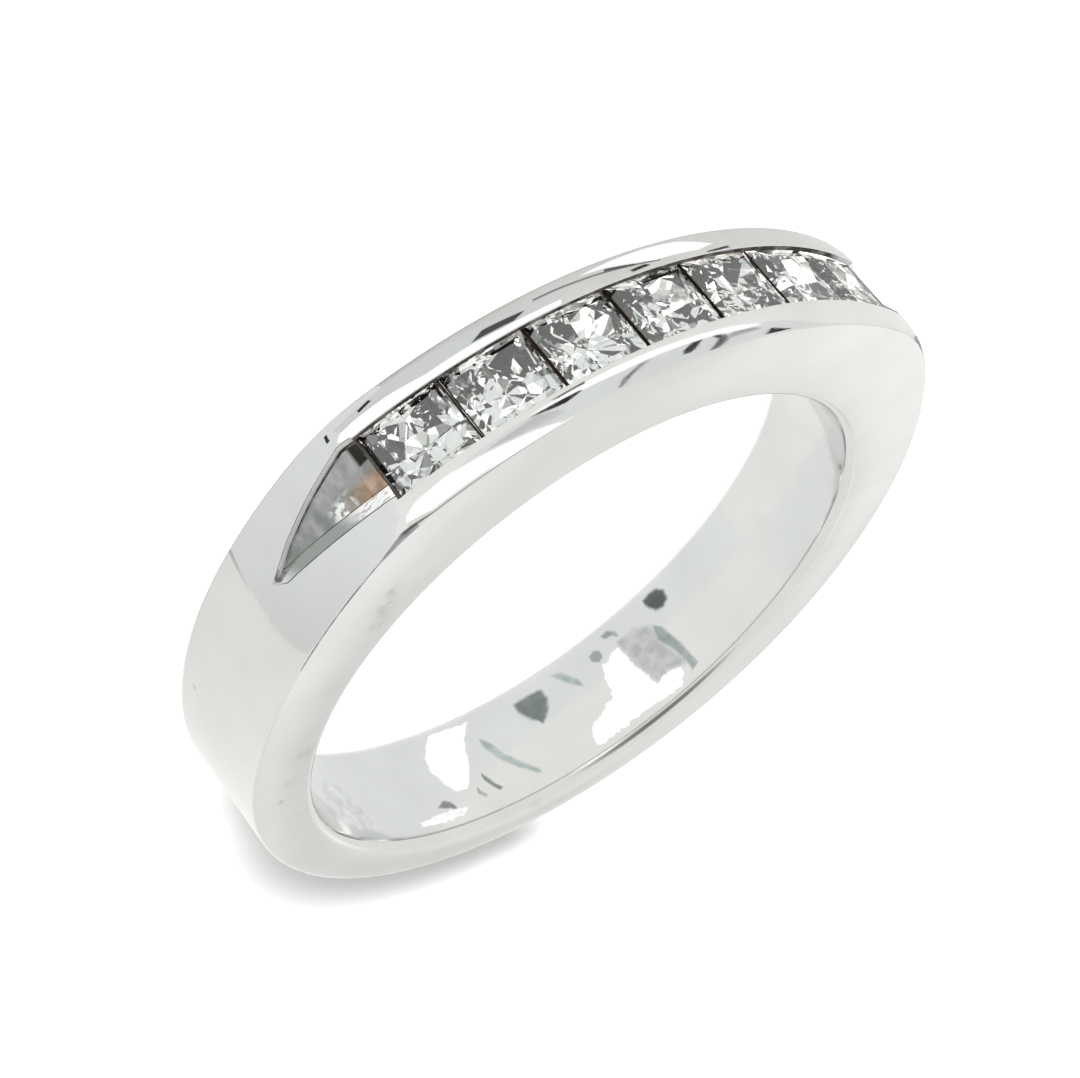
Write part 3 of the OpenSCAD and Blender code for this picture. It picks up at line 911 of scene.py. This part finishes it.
def notch_floor():
    """The floor of a notch: dull grey metal, browner towards the first stone, with painted glints and a black
    painted shade where a gap lies behind it.
    """
    made, tree, place = new_material("notch_floor")
    metal = add(tree, "ShaderNodeBsdfPrincipled", Metallic=1.0)
    along, across = notch_place(tree, place)
    greys = (0.27, 0.285, 0.27), (0.47, 0.46, 0.46)
    browns = (0.34, 0.24, 0.17), (0.6, 0.45, 0.36)
    glint_white, painted_gap_black = (0.97, 0.96, 0.93), (0.03, 0.03, 0.025)
    cloud = noise(tree, place, 2.2, 3, (1, 1, 0.6))
    grey = mixed(tree, ramp(tree, cloud, 0.38, 0.62, 0, 1), *greys)
    brown = mixed(tree, ramp(tree, cloud, 0.4, 0.6, 0, 1), *browns)
    warm = times(tree, between(tree, along, BROWN_ALONG, 0, 1, smooth=True),
                 between(tree, across, BROWN_ACROSS, smooth=True))
    # Painted glints: near-white spots in a band across the floor
    glint_spots = ramp(tree, noise(tree, place, 4.5, 2), 0.47, 0.53, 0, 1)
    glint_band = times(tree, between(tree, along, GLINT_ALONG), between(tree, across, GLINT_ACROSS))
    browned = mixed(tree, warm, grey, brown)
    sparkled = mixed(tree, times(tree, glint_spots, glint_band), browned, glint_white)
    # Painted shade: black where a gap lies behind the floor
    gap = times(tree, between(tree, along, GAP_ALONG, 0, 1), between(tree, across, GAP_ACROSS, 0, 1))
    tree.links.new(mixed(tree, gap, sparkled, painted_gap_black), metal.inputs["Base Color"])
    rub = noise(tree, place, 9.0, 2)
    tree.links.new(ramp(tree, rub, 0.3, 0.7, 0.1, 0.3), metal.inputs["Roughness"])
    bump_surface(tree, metal, rub, 0.3, 0.012)
    set_surface(tree, metal)
    return made


def notch_ledge():
    """The ledge along a notch's front, a painted highlight: near-white with streaks at its wide end, grey
    further down, and pale further on.
    """
    made, tree, place = new_material("notch_ledge")
    metal = add(tree, "ShaderNodeBsdfPrincipled", Metallic=1.0, Roughness=0.15)
    along, _ = notch_place(tree, place)
    white, streak = (1.0, 0.995, 0.99), (0.62, 0.55, 0.53)
    grey, pale = (0.36, 0.375, 0.36), (0.78, 0.79, 0.79)
    streaks = noise(tree, place, 5.0, 2, (1, 1, 3))
    bright = mixed(tree, ramp(tree, streaks, 0.52, 0.62, 0, 1), white, streak)
    greyed = mixed(tree, between(tree, along, LEDGE_GREY_ALONG, smooth=True), bright, grey)
    light = mixed(tree, between(tree, along, LEDGE_PALE_ALONG, smooth=True), greyed, pale)
    tree.links.new(light, metal.inputs["Base Color"])
    set_surface(tree, metal)
    return made


def painted_seam_shade():
    """Painted shade: a dark brown line along a sharp inner edge, patchy, and pale beyond a given x."""
    made, tree, place = new_material("seam")
    metal = add(tree, "ShaderNodeBsdfPrincipled", Metallic=0.0, Roughness=0.5)
    metal.inputs["Specular IOR Level"].default_value = 0.1
    dark, rubbing_and_paler_shade, pale = (0.05, 0.045, 0.04), (0.2, 0.18, 0.17), (0.6, 0.59, 0.6)
    blotch_noise = noise(tree, place, 2.0, 3)
    patchy_shade = mixed(tree, ramp(tree, blotch_noise, 0.45, 0.6, 0, 1), dark, rubbing_and_paler_shade)
    past_shade_end = between(tree, split_place(tree, place)["X"], SEAM_SHADE_END_X, smooth=True)
    tree.links.new(mixed(tree, past_shade_end, patchy_shade, pale), metal.inputs["Base Color"])
    set_surface(tree, metal)
    return made


def wall_metal():
    """The bright-cut back wall of a notch, too narrow to show a clear reflection."""
    made, tree, place = new_material("notch_wall")
    metal = add(tree, "ShaderNodeBsdfPrincipled", Metallic=0.3, Roughness=0.6)
    greyer, whiter = (0.9, 0.91, 0.91), (0.99, 0.99, 0.98)
    cuts = noise(tree, place, 4.0, 2)
    tree.links.new(mixed(tree, cuts, greyer, whiter), metal.inputs["Base Color"])
    set_surface(tree, metal)
    return made


def painted_bevel_reflection():
    """A thin bevel of the front edge with a painted dark reflection: purple-grey and dull beside the mirror
    polish, paler in patches.
    """
    made, tree, place = new_material("bevel")
    metal = add(tree, "ShaderNodeBsdfPrincipled", Metallic=1.0, Roughness=0.25)
    purple_grey, pale = (0.2, 0.195, 0.22), (0.5, 0.5, 0.52)
    blotch_noise = noise(tree, place, 1.5, 3)
    paler_share = ramp(tree, blotch_noise, 0.4, 0.65, 0, 1)
    tree.links.new(mixed(tree, paler_share, purple_grey, pale), metal.inputs["Base Color"])
    set_surface(tree, metal)
    return made


def dress(node_name, material):
    """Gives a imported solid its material."""
    mesh = frame["nodes"][node_name].data
    mesh.materials.clear()
    mesh.materials.append(material)


def make_floor():
    """A plain pale floor under the ring, with a painted soft shadow to one side, and an even glow that only
    the camera sees.
    """
    turns = [(-1, -1), (1, -1), (1, 1), (-1, 1)]
    mesh = bpy.data.meshes.new("floor")
    mesh.from_pydata([(x * FLOOR_HALF_W, y * FLOOR_HALF_W, cad_low.z) for x, y in turns], [], [(0, 1, 2, 3)])
    floor = put_in_scene("floor", mesh)
    made, tree, place = new_material("floor")
    matt = add(tree, "ShaderNodeBsdfDiffuse")
    lift = add(tree, "ShaderNodeEmission")
    pale, grey = (0.9, 0.9, 0.895), (0.47, 0.47, 0.47)
    inner_edge, darkest, outer_edge = SHADE_EDGES
    spans = (inner_edge, darkest, darkest, outer_edge)
    round_ring = between(tree, axis_distance(tree, place, SHADE_CENTRE), spans, smooth=True)
    side = vector_node(tree, "DOT_PRODUCT", offset_from(tree, place, SHADE_CENTRE), SHADE_SIDE)
    facing = between(tree, side.outputs["Value"], SHADE_SPAN, smooth=True)
    painted_shadow = times(tree, round_ring, facing)
    tree.links.new(ramp(tree, painted_shadow, 0, 1, FLOOR_LIFT, 0), lift.inputs["Strength"])
    tree.links.new(mixed(tree, painted_shadow, pale, grey), matt.inputs["Color"])
    rays = add(tree, "ShaderNodeLightPath")
    seen = add(tree, "ShaderNodeMixShader")
    both = add(tree, "ShaderNodeAddShader")
    tree.links.new(rays.outputs["Is Camera Ray"], seen.inputs["Fac"])
    tree.links.new(lift.outputs["Emission"], seen.inputs[2])
    tree.links.new(matt.outputs["BSDF"], both.inputs[0])
    tree.links.new(seen.outputs["Shader"], both.inputs[1])
    set_surface(tree, both)
    mesh.materials.append(made)


def make_camera():
    """The photograph's view: where the camera stands, what it looks at and how it is rolled."""
    place = Vector(CAMERA_PLACE) * MM
    target = Vector(CAMERA_TARGET) * MM
    data = bpy.data.cameras.new("camera")
    data.sensor_width = 36
    data.lens = FOCAL_PX / FRAME_PX * data.sensor_width
    data.clip_start = 1 * MM
    data.clip_end = 10
    camera = put_in_scene("camera", data)
    turn = (target - place).to_track_quat("-Z", "Y").to_matrix().to_4x4()
    roll = Matrix.Rotation(math.radians(CAMERA_ROLL), 4, "Z")
    camera.matrix_world = Matrix.Translation(place) @ turn @ roll
    bpy.context.scene.camera = camera


def sky_direction(azimuth, elevation):
    """A direction from its compass angle, from -Y towards +X, and its height above the level."""
    level = math.cos(math.radians(elevation))
    turn = math.radians(azimuth)
    return (math.sin(turn) * level, -math.cos(turn) * level, math.sin(math.radians(elevation)))


def make_world():
    """An even white surround with a few soft darker and brighter places."""
    world = bpy.data.worlds.new("studio")
    bpy.context.scene.world = world
    world.use_nodes = True
    tree = world.node_tree
    background = tree.nodes["Background"]
    place = add(tree, "ShaderNodeTexCoord")
    total = SKY_LEVEL
    for azimuth, elevation, half_width, change in SKY_PATCHES:
        middle = sky_direction(azimuth, elevation)
        near = vector_node(tree, "DOT_PRODUCT", place.outputs["Generated"], middle).outputs["Value"]
        soft = ramp(tree, near, math.cos(math.radians(half_width)), 1, 0, change, smooth=True)
        total = math_node(tree, "ADD", soft, total)
    background.inputs["Color"].default_value = (1.0, 0.998, 0.982, 1)
    tree.links.new(total, background.inputs["Strength"])


def disc(radius, count):
    """Corners of a circle on the floor round the hole's axis."""
    return [tuple(radius * unit(360 * i / count)) for i in range(count)]


def place_card(name, mesh):
    """Puts a studio card in the scene that shows only in the polish of the metal."""
    card = put_in_scene(name, mesh)
    card.visible_camera = False
    card.visible_diffuse = False
    card.visible_shadow = False


def make_card(number, name, shades, tint, corners):
    """A flat card just above the floor."""
    height = cad_low.z + (CARD_LIFT + CARD_STEP * number) * MM
    mesh = bpy.data.meshes.new(name)
    mesh.from_pydata([(x * MM, y * MM, height) for x, y in corners], [], [tuple(range(len(corners)))])
    made, tree, place = new_material(name)
    glow = add(tree, "ShaderNodeEmission", Color=(*tint, 1))
    own = split_place(tree, place)
    reach = [y * MM for x, y in corners]
    level = ramp(tree, own["Y"], min(reach), max(reach), shades[1], shades[0])
    tree.links.new(level, glow.inputs["Strength"])
    set_surface(tree, glow)
    mesh.materials.append(made)
    place_card(name, mesh)


def moved_outline(corners, distance):
    """A closed outline of [across, up] places with every corner moved outwards, or inwards if negative."""
    count = len(corners)
    area = sum(corners[i - 1][0] * corners[i][1] - corners[i][0] * corners[i - 1][1] for i in range(count))
    out = distance if area > 0 else -distance
    moved = []
    for i, (across, up) in enumerate(corners):
        along = (Vector(corners[(i + 1) % count]) - Vector(corners[i - 1])).normalized()
        moved.append((across + out * along.y, up - out * along.x))
    return moved


def wall_card_material(name, level, tint):
    """Glow with an uneven soft edge, which fades by the mesh's own cover value, seen from its front only."""
    made, tree, place = new_material(name)
    cover = add(tree, "ShaderNodeAttribute", attribute_name="cover")
    grain = noise(tree, place, 5.0, 3)
    bright = level > 1
    rough = 0.3 if bright else 0.12
    fade = 0.12 if bright else 0.4
    ragged = ramp(tree, grain, 0.3, 0.7, -rough, rough)
    uneven = math_node(tree, "ADD", cover.outputs["Fac"], ragged)
    shown = ramp(tree, uneven, 0.5 - fade, 0.5 + fade, 0, 1, smooth=True)
    side = add(tree, "ShaderNodeNewGeometry")
    front = math_node(tree, "SUBTRACT", 1, side.outputs["Backfacing"])
    glow = add(tree, "ShaderNodeEmission", Color=(*tint, 1))
    cloud = noise(tree, place, 3.0, 2)
    cloudy = ramp(tree, cloud, 0.35, 0.65, 0.9 * level, 1.15 * level)
    tree.links.new(cloudy, glow.inputs["Strength"])
    clear = add(tree, "ShaderNodeBsdfTransparent")
    joined = add(tree, "ShaderNodeMixShader")
    tree.links.new(times(tree, shown, front), joined.inputs["Fac"])
    tree.links.new(clear.outputs["BSDF"], joined.inputs[1])
    tree.links.new(glow.outputs["Emission"], joined.inputs[2])
    set_surface(tree, joined)
    return made


def make_wall_card(number, name, level, tint, soft, corners):
    """A small card inside the hole, on the mirrored lines of sight of some places of the inner wall."""
    outline = [(math.radians(angle) * HOLE_R, z) for angle, z in corners]
    gap = WALL_CARD_GAP - WALL_CARD_STEP * number
    places = []
    for across, z in moved_outline(outline, soft) + moved_outline(outline, -soft):
        outward = Vector((*unit(math.degrees(across / HOLE_R)), 0))
        spot = outward * HOLE_R + Vector((0, 0, z))
        sight = (spot - Vector(CAMERA_PLACE)).normalized()
        places.append((spot + sight.reflect(outward) * gap) * MM)
    count = len(corners)
    faces = [tuple(range(count, 2 * count))]
    faces += [(i, (i + 1) % count, count + (i + 1) % count, count + i) for i in range(count)]
    mesh = bpy.data.meshes.new(name)
    mesh.from_pydata(places, [], faces)
    cover = mesh.attributes.new("cover", "FLOAT", "POINT")
    cover.data.foreach_set("value", [0.0] * count + [1.0] * count)
    if mesh.polygons[0].normal.dot(Vector((*unit(corners[0][0]), 0))) < 0:
        mesh.flip_normals()
    mesh.materials.append(wall_card_material(name, level, tint))
    place_card(name, mesh)


def make_light():
    """One soft lamp high above, hidden from the polish."""
    data = bpy.data.lights.new("lamp", "SUN")
    data.energy = LAMP_LEVEL
    data.angle = math.radians(LAMP_W)
    lamp = put_in_scene("lamp", data)
    lamp.visible_glossy = False
    lamp.rotation_euler = Vector(LAMP_TOWARDS).to_track_quat("-Z", "Y").to_euler()


# The ring and its finishes, in the order of FINISHES
ring = make_ring()
for finish in (polished_metal, notch_floor, seat_metal, notch_ledge, painted_seam_shade, painted_bevel_reflection, wall_metal):
    ring.data.materials.append(finish())
stone = diamond()
for name in STONES:
    dress(name, stone)
# Dark plates of painted shade in the gaps between the stones, with their material
make_gap_shade().data.materials.append(painted_gap_shade())

# The studio
make_floor()
make_world()
make_light()
make_card(0, "card_hole_base", BASE_CARD_SHADES, PLAIN, disc(BASE_CARD_R, BASE_CARD_CORNERS))
for number, card in enumerate(CARDS, 1):
    make_card(number, *card)
for number, card in enumerate(WALL_CARDS):
    make_wall_card(number, *card)
make_camera()
bpy.context.scene.view_settings.view_transform = "Standard"
